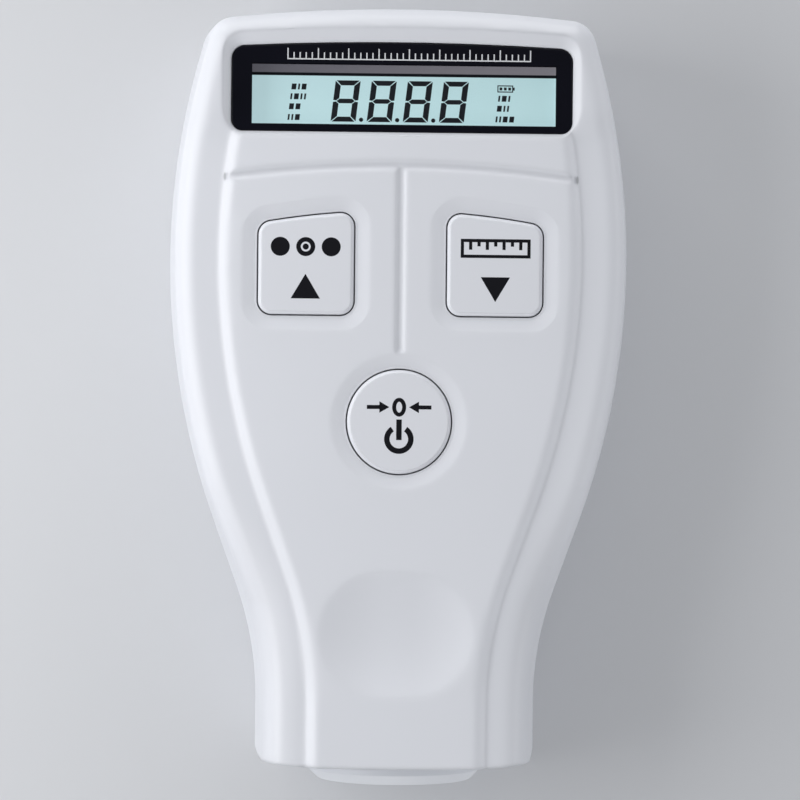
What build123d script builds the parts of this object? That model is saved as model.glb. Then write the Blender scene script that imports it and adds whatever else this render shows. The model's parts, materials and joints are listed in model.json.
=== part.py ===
from build123d import *
import os
from math import asin, atan2, cos, degrees, radians, sin, sqrt

# Handheld coating thickness gauge, in millimetres. It lies on its back on z = 0, the display looks
# up (+Z) and stands at the +Y end, and the probe foot is at the -Y end. X = 0 is its middle plane.

# Outline of the housing, seen from the front
body_half_width = 31.0
widest_y = 17.9
side_radius = 103.0
waist_angle = 19.8
waist_straight = 10.0
neck_radius = 45.0
crown_y = 52.0
crown_radius = 204.0
corner_radius = 4.8
end_y = -49.6
end_bow_radius = 450.0
end_flat_half = 12.0
end_sweep_radius = 34.0
end_corner_radius = 1.1

# Heights and walls of the two covers
thickness = 28.0
parting_z = 14.0
panel_height = 1.0
wall = 2.0
shoulder_wall = 1.8
back_wall = 2.0
end_wall = 2.4
front_draft = 6.0
rear_draft = 8.0
front_edge_radius = 3.0
rear_edge_radius = 3.0
lip_height = 1.2
lip_thickness = 0.8
lip_clearance = 0.1
seam_chamfer = 0.25

# Raised panel and the ramp that lifts the shoulder to the display hood
panel_inset = 6.95
panel_draft = 52.0
panel_edge_radius = 1.8
panel_end_y = 40.0
ramp_y = 33.0
ramp_length = 5.0

# Grooves in the panel
arch_y = 30.0
arch_radius = 160.0
groove_width = 1.5
groove_floor = 0.4
groove_depth = 0.35
groove_end_y = 5.8
notch_width = 0.9
notch_depth = 0.8

# Display window and its recess
window_half_width = 22.5
window_bottom_y = 34.4
window_top_y = 46.2
window_top_radius = 375.0
window_bottom_corner = 1.5
window_top_corner = 1.8
window_depth = 1.1
window_thickness = 1.35
window_gap = 0.1
window_seat_gap = 0.05
recess_side = 1.15
recess_top = 2.0
recess_bottom = 0.6
aperture_half_width = 20.6
aperture_bottom_y = 34.9
aperture_top_y = 44.0
ledge_thickness = 1.3
ledge_rim = 1.6

# Display stack behind the window
glass_half_width = 21.4
glass_bottom_y = 34.2
glass_top_y = 44.6
glass_thickness = 1.95
glass_gap = 0.3
glass_ledge = 1.0
well_rib = 1.2
stack_gap = 0.05
backlight_thickness = 1.05
backlight_half_width = 20.2
backlight_bottom_y = 37.1
backlight_top_y = 44.0
strip_half_width = 19.0
strip_y = 35.7
strip_width = 1.4
holder_gap = 0.1

# Keys
key_inner_x = 6.15
key_outer_x = 18.72
key_bottom_y = 10.25
key_top_y = 23.96
key_top_radius = 100.0
key_corner = 1.8
zero_key_radius = 6.85
zero_key_y = -3.8
key_gap = 0.18
key_edge_chamfer = 0.4
key_flange_rim = 1.2
key_flange_thickness = 1.0
key_flange_gap = 0.1
key_travel = 0.4
dish_land = 0.3
dish_width = 2.2
dish_depth = 0.4

# Thumb dimple
dimple_y = -33.5
dimple_half_width = 10.2
dimple_half_length = 8.2
dimple_depth = 1.1
dimple_tip = 3.0

# Circuit board and the switches on it
board_depth = 8.0
board_thickness = 1.6
board_inset = 4.0
board_end_y = -24.0
board_boss_x = 21.5
board_boss_y = 2.0
board_boss_radius = 2.2
board_screw_radius = 0.85
board_screw_head_radius = 1.9
board_screw_head = 1.4
board_screw_length = 4.5
switch_width = 6.0
switch_height = 3.4
switch_bottom_gap = 0.2
plunger_half_width = 1.6
plunger_length = 2.1
running_gap = 0.08
chip_width = 10.0
chip_height = 1.4
chip_gap = 0.6
chip_y = 12.0

# Housing screws
upper_screw_x = 21.5
upper_screw_y = 28.0
lower_screw_x = 11.7
lower_screw_y = -35.0
front_boss_radius = 3.0
rear_boss_radius = 3.4
screw_radius = 1.25
screw_head_radius = 2.2
screw_head = 1.8
screw_seat_z = 6.0
screw_length = 15.0
counterbore_radius = 2.5
screw_clearance = 0.2
boss_gap = 0.1
pilot_clearance = 0.05
pilot_spare = 0.4

# Battery bay, cells and contacts
cell_radius = 5.25
cell_length = 44.5
cell_nub_radius = 1.9
cell_nub = 1.0
cell_x = 5.6
cell_floor_gap = 0.3
door_clearance = 0.2
bay_wall = 1.5
bay_side_gap = 0.55
bay_start_y = -18.0
contact_thickness = 0.3
contact_gap = 0.05
cell_slack = 0.25
leaf_height = 2.65
leaf_span = 7.0
leaf_width = 4.0
tab_width = 2.0
contact_rim = 0.8

# Battery door and its rails
door_half_width = 13.4
door_thickness = 1.85
door_sink = 0.15
door_start_y = -20.0
door_side_gap = 0.2
tongue_reach = 1.0
tongue_thickness = 0.85
tongue_gap = 0.15
latch_half_width = 4.0
latch_reach = 2.2
rail_reach = 1.4
rail_roof = 1.65
grip_count = 6
grip_pitch = 2.0
grip_width = 0.9
grip_depth = 0.5
grip_half_length = 7.0
grip_y = -15.0

# Probe foot and the sprung probe in it
foot_radius = 11.65
foot_y = -52.0
foot_gap = 0.15
foot_face_radius = 10.4
foot_edge_depth = 1.3
foot_neck_radius = 9.0
foot_flange_radius = 10.5
foot_flange = 1.6
barrel_radius = 7.8
barrel_end_y = -31.0
foot_fit = 0.1
sleeve_radius = 6.0
sleeve_flange_radius = 6.8
sleeve_flange = 1.6
sleeve_step_y = -44.0
sleeve_bore_radius = 3.9
sleeve_face = 1.6
probe_sink = 0.1
groove_vee_depth = 1.2
core_radius = 1.5
core_tip_chamfer = 0.6
core_end_y = -43.0
bobbin_wall = 0.5
bobbin_flange = 0.8
coil_gap = 0.1
cap_thickness = 1.0
spring_radius = 5.6
spring_wire = 0.6
spring_turns = 3
guide_thickness = 1.2
guide_plug = 2.0
lead_width = 4.0
lead_thickness = 0.5
lead_bend = 2.2
lead_straight = 2.5
lead_slot_gap = 0.3
connector_length = 4.0
connector_half_width = 3.0
connector_height = 2.6

# How far cutters run past what they cut, how deep fused pieces sink into each other, and how far
# the drafted forms run on past the end before it is cut
past = 1.0
merge = 0.1
run_out = 10.0

# Levels that follow from the sizes above
shoulder_z = thickness - panel_height
ceiling_z = shoulder_z - shoulder_wall
board_top_z = thickness - board_depth
board_z = board_top_z - board_thickness
window_z = thickness - window_depth
window_floor_z = window_z - window_thickness - window_seat_gap
ledge_z = window_floor_z - ledge_thickness
glass_z = ledge_z - stack_gap - glass_thickness
flange_z = ceiling_z - key_flange_gap - key_flange_thickness
inner_end_y = end_y + end_wall
beyond_end_y = end_y - run_out
foot_seat_y = end_y - foot_gap
probe_z = parting_z
cell_z = door_sink + door_thickness + cell_floor_gap + door_clearance + cell_radius
bay_roof_z = cell_z + cell_radius + cell_floor_gap
bay_half_width = cell_x + cell_radius + bay_side_gap
bay_end_y = bay_start_y + cell_length + leaf_height + 2 * contact_thickness + cell_slack
side_centre = Vector(body_half_width - side_radius, widest_y)
crown_centre = Vector(0, crown_y - crown_radius)
housing_screws_at = [
    (side * x, y)
    for x, y in ((upper_screw_x, upper_screw_y), (lower_screw_x, lower_screw_y))
    for side in (-1, 1)
]
board_screws_at = [(-board_boss_x, board_boss_y), (board_boss_x, board_boss_y)]
key_centres = {
    "mode": (-(key_inner_x + key_outer_x) / 2, (key_bottom_y + key_top_y) / 2),
    "unit": ((key_inner_x + key_outer_x) / 2, (key_bottom_y + key_top_y) / 2),
    "zero": (0, zero_key_y),
}


def on_circle(centre, radius, angle):
    return Vector(centre.X + radius * cos(radians(angle)), centre.Y + radius * sin(radians(angle)))


def heading(centre, point):
    return degrees(atan2(point.Y - centre.Y, point.X - centre.X))


def corner_centre():
    """Centre of the arc that joins the side and the crown, tangent to both."""
    near, far = side_radius - corner_radius, crown_radius - corner_radius
    span = crown_centre - side_centre
    along = (near**2 - far**2 + span.length**2) / (2 * span.length)
    across = sqrt(near**2 - along**2)
    unit = span.normalized()
    return side_centre + unit * along + Vector(-unit.Y, unit.X) * across


corner_at = corner_centre()
side_turn = heading(side_centre, corner_at)
crown_turn = heading(crown_centre, corner_at)
waist_top = on_circle(side_centre, side_radius, -waist_angle)
waist_low = waist_top - Vector(sin(radians(waist_angle)), cos(radians(waist_angle))) * waist_straight
neck_centre = waist_low + Vector(cos(radians(waist_angle)), -sin(radians(waist_angle))) * neck_radius
neck_end_x = neck_centre.X - neck_radius


def symmetric_face(half):
    """Face of a half outline and its mirror image, with its normal upwards."""
    half = Curve() + half
    return make_face(mirror(half, about=Plane.YZ) + half).face()


def flank(inset, start_turn):
    """Side, waist and neck of the right-hand outline, moved inwards by inset."""
    side = CenterArc(side_centre, side_radius - inset, start_turn, -(start_turn + waist_angle))
    neck = CenterArc(neck_centre, neck_radius + inset, 180 - waist_angle, waist_angle)
    return [side, Line(side @ 1, neck @ 0), neck]


def outline(inset, low_y):
    """The housing's outline moved inwards by inset, closed by a straight line at low_y."""
    crown = CenterArc(crown_centre, crown_radius - inset, 90, crown_turn - 90)
    corner = CenterArc(corner_at, corner_radius - inset, crown_turn, side_turn - crown_turn)
    side = flank(inset, side_turn)
    foot = side[-1] @ 1
    down = Line(foot, (foot.X, low_y))
    return symmetric_face([crown, corner, *side, down, Line((foot.X, low_y), (0, low_y))])


def panel_outline():
    """Foot of the raised panel: the housing's flanks moved inwards, and run on past both ends."""
    turn = degrees(asin((panel_end_y - widest_y) / (side_radius - panel_inset)))
    side = flank(panel_inset, turn)
    top, foot = side[0] @ 0, side[-1] @ 1
    down = Line(foot, (foot.X, beyond_end_y))
    return symmetric_face(
        [Line((0, panel_end_y), top), *side, down, Line((foot.X, beyond_end_y), (0, beyond_end_y))]
    )


def tapered(face, height, draft):
    return Solid.extrude_taper(face, (0, 0, height), draft)


def along_y(edge):
    """True for an edge that runs more along Y than along X."""
    way = edge.tangent_at(0.5)
    return abs(way.Y) > abs(way.X)


def before_run_out(edge):
    """True for an edge of the housing itself, not of the stretch past its end."""
    return edge.center().Y > beyond_end_y + past


def block(x0, x1, y0, y1, z0, z1):
    return Pos((x0 + x1) / 2, (y0 + y1) / 2, (z0 + z1) / 2) * Box(x1 - x0, y1 - y0, z1 - z0)


def post(x, y, radius, z0, z1):
    return Pos(x, y, (z0 + z1) / 2) * Cylinder(radius, z1 - z0)


def rod(radius, y0, y1, x=0.0, z=None):
    """Round bar along Y, by default on the axis of the probe."""
    z = probe_z if z is None else z
    return Pos(x, (y0 + y1) / 2, z) * Rot(90, 0, 0) * Cylinder(radius, y1 - y0)


def end_cut():
    """Everything above the end, which is bowed a little, sweeps back and turns into the flanks."""
    centre = Vector(0, end_y + end_bow_radius)
    bow = CenterArc(centre, end_bow_radius, -90, degrees(asin(end_flat_half / end_bow_radius)))
    touch = bow @ 1
    pivot = touch + (centre - touch).normalized() * end_sweep_radius
    reach = end_sweep_radius - end_corner_radius
    turn = asin((neck_end_x - end_corner_radius - pivot.X) / reach)
    start, stop = heading(pivot, touch), degrees(turn) - 90
    sweep_back = CenterArc(pivot, end_sweep_radius, start, stop - start)
    corner_pivot = pivot + Vector(sin(turn), -cos(turn)) * reach
    corner = CenterArc(corner_pivot, end_corner_radius, stop, -stop)
    tip = corner @ 1
    far_x, far_y = 2 * body_half_width, 2 * crown_y
    sides = Polyline(tip, (far_x, tip.Y), (far_x, far_y), (0, far_y))
    return extrude(symmetric_face([bow, sweep_back, corner, sides]), amount=2 * thickness, both=True)


def window_face(side, top, bottom, z):
    """Outline of the display window, grown by its own amount at the sides, top and bottom."""
    x = window_half_width + side
    low, high = window_bottom_y - bottom, window_top_y + top
    sag = window_top_radius - sqrt(window_top_radius**2 - x**2)
    crown = ThreePointArc((-x, high - sag), (0, high), (x, high - sag))
    sides = Polyline((x, high - sag), (x, low), (-x, low), (-x, high - sag))
    face = make_face(Curve() + [crown, sides])
    face = fillet(face.vertices().group_by(Axis.Y)[0], window_bottom_corner + bottom)
    face = fillet(face.vertices().group_by(Axis.Y)[-1], window_top_corner + side)
    return Pos(0, 0, z) * face.face()


def key_face(grow, z, side=1):
    """Outline of a mode or unit key, grown by grow. Side is -1 for the left-hand key."""
    x0, x1 = key_inner_x - grow, key_outer_x + grow
    low = key_bottom_y - grow
    radius = key_top_radius + grow
    centre = Vector(0, key_top_y - key_top_radius)
    inner = centre.Y + sqrt(radius**2 - x0**2)
    outer = centre.Y + sqrt(radius**2 - x1**2)
    start = heading(centre, Vector(x0, inner))
    top = CenterArc(centre, radius, start, heading(centre, Vector(x1, outer)) - start)
    sides = Polyline((x1, outer), (x1, low), (x0, low), (x0, inner))
    face = make_face(Curve() + [top, sides])
    face = fillet(face.vertices(), key_corner + grow)
    if side < 0:
        face = mirror(face, about=Plane.YZ)
    return Pos(0, 0, z) * face.face()


def zero_face(grow, z):
    return Pos(0, zero_key_y, z) * Circle(zero_key_radius + grow).face()


def key_faces(grow, z):
    return [key_face(grow, z, -1), key_face(grow, z, 1), zero_face(grow, z)]


def prism(face, height):
    return extrude(face, amount=height, dir=(0, 0, 1))


def ramp_profile():
    """Everything below the shoulder, the ramp and the display hood, as one long bar along X."""
    radius = (ramp_length**2 + panel_height**2) / (4 * panel_height)
    turn = 2 * degrees(atan2(panel_height, ramp_length))
    far = 2 * crown_y
    low = CenterArc((ramp_y, shoulder_z + radius), radius, -90, turn)
    high = CenterArc((ramp_y + ramp_length, thickness - radius), radius, 90 + turn, -turn)
    rest = Polyline(high @ 1, (far, thickness), (far, 0), (-far, 0), (-far, shoulder_z), low @ 0)
    face = Plane.YZ * make_face(Curve() + [low, high, rest])
    return extrude(face, amount=2 * body_half_width, both=True)


def front_skin():
    """Outer form of the front cover, solid: drafted flanks, shoulder, hood and raised panel."""
    height = thickness - parting_z + panel_height
    body = Pos(0, 0, parting_z) * tapered(outline(0, beyond_end_y), height, front_draft)
    foot = body.faces().sort_by(Axis.Z)[0]
    body = chamfer(foot.edges().filter_by(before_run_out), seam_chamfer)
    body = body & ramp_profile()
    top = body.edges().filter_by(lambda edge: edge.center().Z > shoulder_z - merge)
    rim = top.filter_by(before_run_out).filter_by(
        lambda edge: along_y(edge) or edge.center().Y > corner_at.Y
    )
    body = fillet(rim, front_edge_radius)
    panel = tapered(panel_outline(), panel_height, panel_draft)
    crest = panel.edges().group_by(Axis.Z)[-1].filter_by(along_y)
    panel = Pos(0, 0, shoulder_z) * fillet(crest, panel_edge_radius)
    return (body + panel) & end_cut()


def rear_skin():
    """Outer form of the rear cover, solid."""
    body = Pos(0, 0, parting_z) * mirror(
        tapered(outline(0, beyond_end_y), parting_z, rear_draft), about=Plane.XY
    )
    top = body.faces().sort_by(Axis.Z)[-1]
    body = chamfer(top.edges().filter_by(before_run_out), seam_chamfer)
    base = body.faces().sort_by(Axis.Z)[0]
    body = fillet(base.edges().filter_by(before_run_out), rear_edge_radius)
    return body & end_cut()


def window_recess():
    """Sloping recess down to the window, and the window's own pocket."""
    spread = 1 + past / window_depth
    low = window_face(0, 0, 0, window_z)
    high = window_face(recess_side * spread, recess_top * spread, recess_bottom * spread, thickness + past)
    pocket = window_face(window_gap, window_gap, window_gap, window_floor_z)
    return loft([low, high], ruled=True) + prism(pocket, window_z - window_floor_z + window_seat_gap)


def dishes():
    """Shallow slopes round the keys."""
    inner = key_gap + dish_land
    outer = dish_width + (dish_width - inner) / dish_depth * merge
    pairs = zip(key_faces(inner, thickness - dish_depth), key_faces(outer, thickness + merge))
    return [loft([low, high], ruled=True) for low, high in pairs]


def groove_section(x):
    """Trapezoid of the grooves in the XZ plane, centred on x and carried up past the panel."""
    floor = groove_floor / 2
    top = groove_top_half()
    low, high = thickness - groove_depth, thickness + merge
    points = [(x - top, high), (x - floor, low), (x + floor, low), (x + top, high)]
    return Plane.XZ * make_face(Polyline(*points, close=True))


def groove_top_half():
    """Half the groove's width where its section is carried up past the panel."""
    return groove_width / 2 + (groove_width - groove_floor) / 2 / groove_depth * merge


def grooves():
    """Arched groove across the panel, the straight one down its middle, and the end notches."""
    centre = Vector(0, arch_y - arch_radius)
    arch = revolve(groove_section(arch_radius), Axis.Z)
    stem = extrude(groove_section(0), amount=arch_y - groove_end_y, dir=(0, -1, 0))
    tip = Pos(0, groove_end_y, thickness + (merge - groove_depth) / 2) * Cone(
        groove_floor / 2, groove_top_half(), groove_depth + merge
    )
    wall_x = side_centre.X + sqrt((side_radius - panel_inset) ** 2 - (arch_y - widest_y) ** 2)
    notch_y = centre.Y + sqrt(arch_radius**2 - wall_x**2)
    half = notch_width / 2
    notches = [
        block(x - half, x + half, notch_y - half, notch_y + half, thickness - notch_depth, thickness + past)
        for x in (-wall_x, wall_x)
    ]
    return [Pos(0, centre.Y, 0) * arch, Pos(0, arch_y, 0) * stem, tip, *notches]


def thumb_dimple():
    """Shallow oval bowl, as a ball-nosed cutter leaves it, tipped a little towards the probe."""
    radius = (dimple_half_length**2 + dimple_depth**2) / (2 * dimple_depth)
    run = dimple_half_width - dimple_half_length
    side = Line((-run, radius), (run, radius))
    noses = [CenterArc((run, 0), radius, 90, -90), CenterArc((-run, 0), radius, 180, -90)]
    axis = Line((run + radius, 0), (-run - radius, 0))
    cutter = revolve(make_face(Curve() + [side, *noses, axis]), Axis.X)
    seat = Pos(0, dimple_y, thickness - dimple_depth) * Rot(-dimple_tip, 0, 0)
    return seat * Pos(0, 0, radius) * cutter


def foot_passage():
    """Hole of the foot's neck through the end walls, and the room for its flange behind them."""
    neck = rod(foot_neck_radius + foot_fit, foot_y, inner_end_y + past)
    flange = rod(foot_flange_radius + 2 * foot_fit, inner_end_y, inner_end_y + 2 * foot_flange)
    return neck + flange


def display_well():
    """Ledge that the window rests on, and the ribs that locate the display glass."""
    ledge = prism(window_face(ledge_rim, ledge_rim, ledge_rim, ledge_z), ceiling_z - ledge_z + merge)
    x, low, high = glass_half_width + glass_gap, glass_bottom_y - glass_gap, glass_top_y + glass_gap
    rib = well_rib
    outer = block(-x - rib, x + rib, low - rib, high + rib, glass_z, ledge_z + merge)
    inner = block(-x, x, low, high, glass_z - past, ledge_z)
    return ledge + (outer - inner)


def front_cover():
    cover = front_skin()
    inside = tapered(outline(wall, inner_end_y), ceiling_z - parting_z, front_draft)
    rebate_inset = (wall - lip_thickness - lip_clearance) - lip_clearance
    rebate_end_y = inner_end_y - lip_thickness - lip_clearance
    rebate = prism(outline(rebate_inset, rebate_end_y), lip_height + lip_clearance)
    cover -= Pos(0, 0, parting_z) * inside
    cover -= Pos(0, 0, parting_z) * rebate
    cover += display_well()
    for x, y in housing_screws_at:
        cover += post(x, y, front_boss_radius, parting_z + boss_gap, ceiling_z + merge)
    for x, y in board_screws_at:
        cover += post(x, y, board_boss_radius, board_top_z, ceiling_z + merge)
    for x, y in housing_screws_at:
        pilot = screw_radius + pilot_clearance
        cover -= post(x, y, pilot, parting_z, screw_seat_z + screw_length + pilot_spare)
    for x, y in board_screws_at:
        pilot = board_screw_radius + pilot_clearance
        cover -= post(x, y, pilot, board_top_z - past, board_z + board_screw_length + pilot_spare)
    cover -= window_recess()
    cover -= block(
        -aperture_half_width, aperture_half_width, aperture_bottom_y, aperture_top_y,
        ledge_z - past, window_floor_z + merge,
    )
    for tool in dishes() + grooves():
        cover -= tool
    for face in key_faces(key_gap, ceiling_z - past):
        cover -= prism(face, thickness)
    cover -= thumb_dimple()
    return cover - foot_passage()


def bay_box():
    """Outer walls and roof of the battery bay, and the block that holds the door's rails."""
    x = bay_half_width + bay_wall
    box = block(-x, x, bay_start_y - bay_wall, bay_end_y + bay_wall, back_wall / 2, bay_roof_z + bay_wall)
    rail_x = door_half_width + tongue_reach + door_side_gap + rail_reach
    rail_z = door_sink + door_thickness + tongue_gap + rail_roof
    start = door_start_y - latch_reach - rail_reach
    return box + block(-rail_x, rail_x, start, crown_y, back_wall / 2, rail_z)


def door_slot():
    """Room for the door: the opening in the back, its side grooves and the latch pocket."""
    x = door_half_width + door_side_gap
    groove_x = x + tongue_reach
    roof = door_sink + door_thickness + tongue_gap
    floor = roof - tongue_thickness - 2 * tongue_gap
    start = door_start_y - door_side_gap
    slot = block(-x, x, start, 2 * crown_y, -past, floor + merge)
    slot += block(-groove_x, groove_x, start, 2 * crown_y, floor, roof)
    latch = latch_half_width + door_side_gap
    return slot + block(-latch, latch, start - latch_reach, start + past, floor, roof)


def contact_slots():
    """Slots in the bay's roof for the solder tabs of the two end contacts."""
    slots = []
    for side in (-1, 1):
        x = side * cell_x
        half = tab_width / 2 + door_side_gap
        deep = contact_thickness + 3 * contact_gap
        slots.append(block(
            x - half, x + half, bay_start_y, bay_start_y + deep,
            bay_roof_z - past, bay_roof_z + bay_wall + past,
        ))
    return slots


def rear_cover():
    skin = rear_skin()
    inside = mirror(tapered(outline(wall, inner_end_y), parting_z - back_wall, rear_draft), about=Plane.XY)
    cover = skin - Pos(0, 0, parting_z) * inside
    lip_inset = wall - lip_thickness - lip_clearance
    lip = prism(outline(lip_inset, inner_end_y - lip_thickness), lip_height)
    lip -= prism(outline(lip_inset + lip_thickness, inner_end_y), lip_height)
    cover += Pos(0, 0, parting_z) * lip
    cover += bay_box() & skin_above(skin)
    for x, y in housing_screws_at:
        cover += post(x, y, rear_boss_radius, back_wall / 2, parting_z)
    cover -= block(-bay_half_width, bay_half_width, bay_start_y, bay_end_y, -past, bay_roof_z)
    cover -= door_slot()
    for slot in contact_slots():
        cover -= slot
    for x, y in housing_screws_at:
        cover -= post(x, y, counterbore_radius, -past, screw_seat_z)
        cover -= post(x, y, screw_radius + screw_clearance, 0, parting_z + past)
    return cover - foot_passage()


def skin_above(skin):
    """The rear cover's outer form carried up past the parting plane."""
    return skin + Pos(0, 0, parting_z) * prism(outline(wall, inner_end_y), parting_z / 2)


def battery_door():
    top = door_sink + door_thickness
    far = 2 * crown_y
    door = block(-door_half_width, door_half_width, door_start_y, far, door_sink, top)
    tongue_x = door_half_width + tongue_reach
    door += block(-tongue_x, tongue_x, door_start_y, far, top - tongue_thickness, top)
    latch = block(
        -latch_half_width, latch_half_width, door_start_y - latch_reach + tongue_gap,
        door_start_y + merge, top - tongue_thickness, top,
    )
    door = (door & rear_skin()) + latch
    for index in range(grip_count):
        y = grip_y + index * grip_pitch
        half = grip_half_length
        door -= block(-half, half, y, y + grip_width, door_sink - past, door_sink + grip_depth)
    return door


def display_window():
    return prism(window_face(0, 0, 0, window_floor_z + window_seat_gap), window_thickness)


def lcd_glass():
    """Two bonded plates: the lower one runs on past the upper one as a contact ledge."""
    x, middle = glass_half_width, glass_z + glass_thickness / 2
    low = block(-x, x, glass_bottom_y, glass_top_y, glass_z, middle)
    high_start = glass_bottom_y + glass_ledge
    return low + block(-x, x, high_start, glass_top_y, middle, glass_z + glass_thickness)


def lcd_holder():
    x = glass_half_width
    top = glass_z - stack_gap
    frame = block(-x, x, glass_bottom_y, glass_top_y, board_top_z + stack_gap, top)
    gap = holder_gap
    frame -= block(
        -backlight_half_width - gap, backlight_half_width + gap, backlight_bottom_y - gap,
        backlight_top_y + gap, top - backlight_thickness - stack_gap, top + past,
    )
    strip = strip_width / 2 + gap
    frame -= block(
        -strip_half_width - gap, strip_half_width + gap, strip_y - strip, strip_y + strip,
        board_z, top + past,
    )
    return frame


def backlight_panel():
    x, top = backlight_half_width, glass_z - stack_gap
    return block(-x, x, backlight_bottom_y, backlight_top_y, top - backlight_thickness, top)


def zebra_strip():
    x, half = strip_half_width, strip_width / 2
    top = glass_z - stack_gap
    return block(-x, x, strip_y - half, strip_y + half, board_top_z + stack_gap, top)


def main_board():
    board = Pos(0, 0, board_z) * prism(outline(board_inset, beyond_end_y), board_thickness)
    board -= block(-body_half_width, body_half_width, 2 * beyond_end_y, board_end_y, 0, thickness)
    notch = front_boss_radius + screw_clearance
    for side in (-1, 1):
        x0, x1 = sorted((side * (upper_screw_x - notch), side * body_half_width))
        y0, y1 = upper_screw_y - notch, upper_screw_y + notch
        board -= block(x0, x1, y0, y1, board_z - past, board_top_z + past)
    for x, y in board_screws_at:
        board -= post(x, y, board_screw_radius + screw_clearance, board_z - past, board_top_z + past)
    return board


def controller_chip():
    """Chip under the board, beside the battery bay."""
    half = chip_width / 2
    x = bay_half_width + bay_wall + chip_gap
    return block(x, x + chip_width, chip_y - half, chip_y + half, board_z - chip_height, board_z)


def key(name):
    """Key cap with the flange that holds it behind the panel."""
    faces = {
        "mode": lambda grow, z: key_face(grow, z, -1),
        "unit": lambda grow, z: key_face(grow, z, 1),
        "zero": zero_face,
    }
    face = faces[name]
    cap = prism(face(0, flange_z), thickness - flange_z)
    cap = chamfer(cap.faces().sort_by(Axis.Z)[-1].edges(), key_edge_chamfer)
    return cap + prism(face(key_flange_rim, flange_z), key_flange_thickness)


def key_switch(name):
    x, y = key_centres[name]
    half = switch_width / 2
    top = board_top_z + switch_height
    body = block(x - half, x + half, y - half, y + half, board_top_z, top)
    bore_z = flange_z - plunger_length - key_travel - switch_bottom_gap
    hole = plunger_half_width + running_gap
    return body - block(x - hole, x + hole, y - hole, y + hole, bore_z, top + past)


def key_plunger(name):
    x, y = key_centres[name]
    half = plunger_half_width
    return block(x - half, x + half, y - half, y + half, flange_z - plunger_length, flange_z)


def battery_cell(side):
    """Small round cell. The left-hand one has its positive end at +Y, the other at -Y."""
    x = side * cell_x
    if side < 0:
        tip = bay_end_y - contact_thickness - 2 * contact_gap
        can = rod(cell_radius, tip - cell_length, tip - cell_nub, x, cell_z)
        nub = rod(cell_nub_radius, tip - cell_nub, tip, x, cell_z)
    else:
        tip = bay_start_y + contact_thickness + 2 * contact_gap
        can = rod(cell_radius, tip + cell_nub, tip + cell_length, x, cell_z)
        nub = rod(cell_nub_radius, tip, tip + cell_nub, x, cell_z)
    return can + nub


def contact_plate(x0, x1, at_end):
    low, high = cell_z - cell_radius + contact_rim, cell_z + cell_radius - contact_rim
    y = bay_end_y - contact_gap - contact_thickness if at_end else bay_start_y + contact_gap
    return block(x0, x1, y, y + contact_thickness, low, high)


def contact_leaf(x, at_end):
    """Bowed leaf that presses on the flat end of a cell."""
    rise, half = leaf_height - contact_gap, leaf_span / 2
    radius = (half**2 + rise**2) / (2 * rise)
    way = -1 if at_end else 1
    plate_y = bay_end_y - contact_gap - contact_thickness if at_end else (
        bay_start_y + contact_gap + contact_thickness)
    centre_y = plate_y + way * (rise - radius)
    ring = rod_x(radius, leaf_width, x, centre_y)
    ring -= rod_x(radius - contact_thickness, leaf_width + past, x, centre_y)
    reach = 2 * radius
    y0, y1 = sorted((plate_y - way * contact_thickness / 2, plate_y + way * reach))
    return ring & block(x - reach, x + reach, y0, y1, cell_z - reach, cell_z + reach)


def rod_x(radius, length, x, y):
    return Pos(x, y, cell_z) * Rot(0, 90, 0) * Cylinder(radius, length)


def contact_tab(x):
    y = bay_start_y + contact_gap
    half = tab_width / 2
    return block(x - half, x + half, y, y + contact_thickness, cell_z, board_z - stack_gap)


def bridge_contact():
    x = bay_half_width - contact_rim
    return contact_plate(-x, x, True) + contact_leaf(cell_x, True)


def end_contact(side):
    """Contact at the probe end: the left-hand one has the leaf for a cell's flat end."""
    edge = bay_half_width - contact_rim
    x0, x1 = sorted((side * edge, side * contact_rim))
    contact = contact_plate(x0, x1, False) + contact_tab(side * cell_x)
    if side < 0:
        contact += contact_leaf(side * cell_x, False)
    return contact


def foot_ball():
    """Ball that rounds the rim between the foot's flat face and its side."""
    rim_y = foot_y + foot_edge_depth
    rise = rim_y**2 - foot_y**2 + foot_radius**2 - foot_face_radius**2
    centre_y = rise / (2 * foot_edge_depth)
    radius = sqrt(foot_face_radius**2 + (centre_y - foot_y) ** 2)
    return Pos(0, centre_y, probe_z) * Sphere(radius)


def probe_foot():
    """Collar at the end, its neck through the end walls, flange and the long guide barrel."""
    face = rod(foot_radius, foot_y, foot_seat_y) & foot_ball()
    flange_y = inner_end_y + foot_fit
    foot = face + rod(foot_neck_radius, foot_seat_y - merge, flange_y)
    foot += rod(foot_flange_radius, flange_y, flange_y + foot_flange)
    foot += rod(barrel_radius, flange_y, barrel_end_y)
    foot -= rod(sleeve_radius + running_gap, foot_y - past, sleeve_step_y + past)
    return foot - rod(sleeve_flange_radius + running_gap, sleeve_step_y, barrel_end_y + past)


def probe_sleeve():
    """Sprung sleeve: V-grooved face and a flange that stops at the foot's step."""
    face_y = foot_y + probe_sink
    flange_y = sleeve_step_y + contact_gap
    back_y = flange_y + sleeve_flange
    sleeve = rod(sleeve_radius, face_y, flange_y)
    sleeve += rod(sleeve_flange_radius, flange_y, back_y)
    sleeve -= rod(sleeve_bore_radius, face_y + sleeve_face, back_y + past)
    sleeve -= rod(core_radius + coil_gap, face_y - past, face_y + sleeve_face + past)
    vee = Plane.YZ * make_face(Polyline(
        (face_y - past, probe_z - groove_vee_depth - past), (face_y + groove_vee_depth, probe_z),
        (face_y - past, probe_z + groove_vee_depth + past), close=True,
    ))
    return sleeve - extrude(vee, amount=2 * sleeve_radius, both=True)


def probe_core():
    """Ferrite pin with a bevelled contact tip."""
    pin = rod(core_radius, foot_y + probe_sink, core_end_y)
    return chamfer(pin.edges().group_by(Axis.Y)[0], core_tip_chamfer)


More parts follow.
